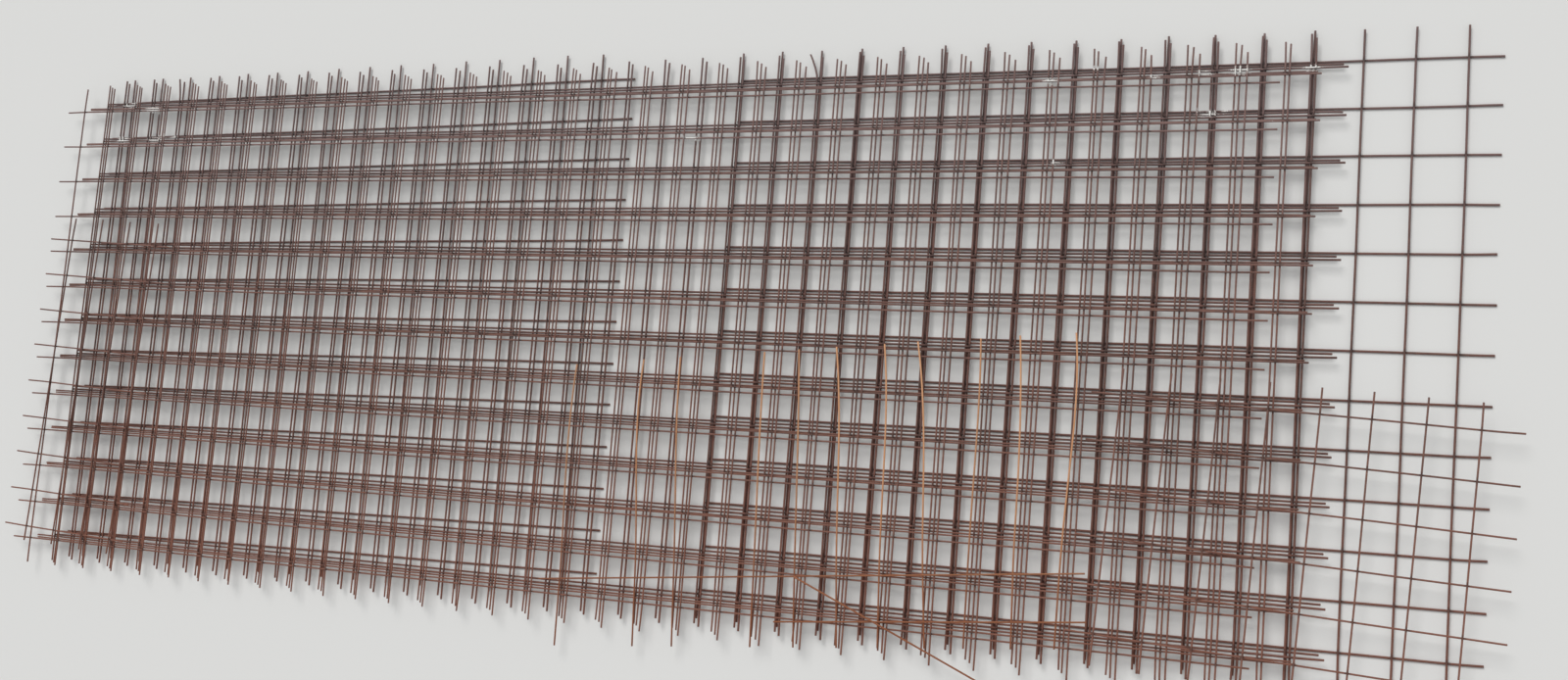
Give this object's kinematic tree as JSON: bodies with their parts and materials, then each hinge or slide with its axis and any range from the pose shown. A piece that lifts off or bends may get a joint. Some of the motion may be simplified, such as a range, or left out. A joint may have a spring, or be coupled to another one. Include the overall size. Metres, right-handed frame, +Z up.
{
  "type": "stack of rebar mats",
  "caption": "Flat stack of rusty welded reinforcing mesh mats, some turned over so that their bars nest, with offcuts of mesh and a loose bar on top.",
  "frame": {"origin": "middle of the stack, on the floor that it lies on", "axes": "+X along the long bars, +Z up through the stack"},
  "size_m": [5.7776, 2.2326, 0.0741],
  "materials": {
    "dark_rust": "old dark rust",
    "brown_rust": "matt brown rust",
    "orange_rust": "bright fresh rust"
  },
  "bodies": {
    "root": {"mat_bottom_left": "dark_rust", "mat_bottom_right": "dark_rust", "mat_second": "dark_rust", "mat_third": "dark_rust", "mat_fourth": "brown_rust", "mat_fifth": "brown_rust", "mat_top": "brown_rust", "offcut_left": "brown_rust", "offcut_right": "brown_rust", "offcut_comb": "orange_rust", "loose_bar": "orange_rust"}
  },
  "joints": []
}
